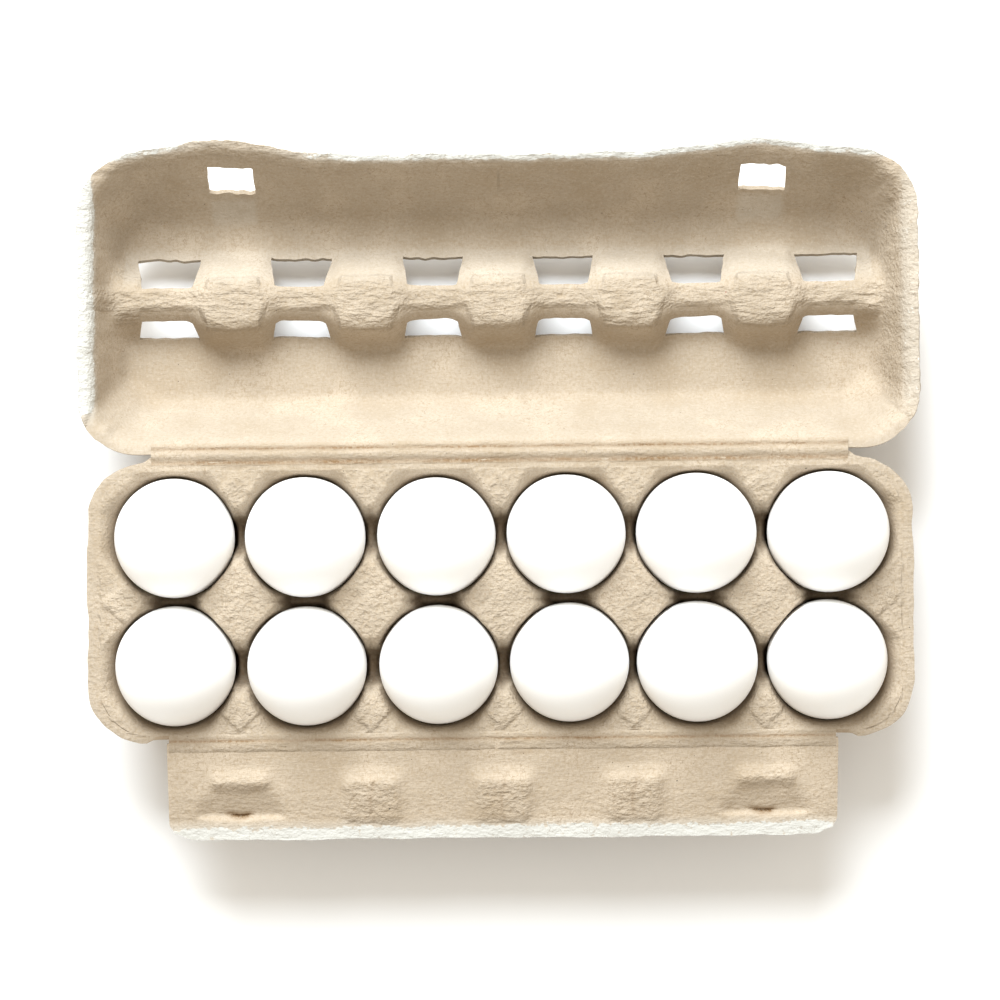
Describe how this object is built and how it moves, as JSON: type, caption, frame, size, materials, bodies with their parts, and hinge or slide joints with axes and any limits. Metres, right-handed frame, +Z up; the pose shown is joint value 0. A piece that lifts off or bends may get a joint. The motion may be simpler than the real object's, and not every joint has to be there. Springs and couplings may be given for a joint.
{
  "type": "egg carton with eggs",
  "caption": "Open moulded-pulp egg carton: a tray of round cups filled with white eggs, a hinged lid lying back level and a fold-out front flap.",
  "frame": {"origin": "on the table under the middle of the open carton's outline", "axes": "+X along the carton's length, +Y from the front flap towards the opened lid, +Z up"},
  "size_m": [0.305, 0.2549, 0.0602],
  "materials": {
    "pulp_tray": "rough matte recycled pulp",
    "pulp_lid": "rough matte recycled pulp",
    "pulp_flap": "rough matte recycled pulp",
    "eggshell": "satin white shell"
  },
  "bodies": {
    "tray": {"tray": "pulp_tray", "egg_1": "eggshell", "egg_2": "eggshell", "egg_3": "eggshell", "egg_4": "eggshell", "egg_5": "eggshell", "egg_6": "eggshell", "egg_7": "eggshell", "egg_8": "eggshell", "egg_9": "eggshell", "egg_10": "eggshell", "egg_11": "eggshell", "egg_12": "eggshell"},
    "lid": {"lid": "pulp_lid"},
    "flap": {"flap": "pulp_flap"}
  },
  "joints": [
    {"name": "lid_hinge", "type": "hinge", "parent": "tray", "child": "lid", "pos_m": [0, 0.01317, 0.0413], "axis": [1, 0, 0], "range_deg": [0, 180.8]},
    {"name": "flap_hinge", "type": "hinge", "parent": "tray", "child": "flap", "pos_m": [0, -0.09103, 0.0407], "axis": [-1, 0, 0], "range_deg": [0, 137.5]}
  ]
}
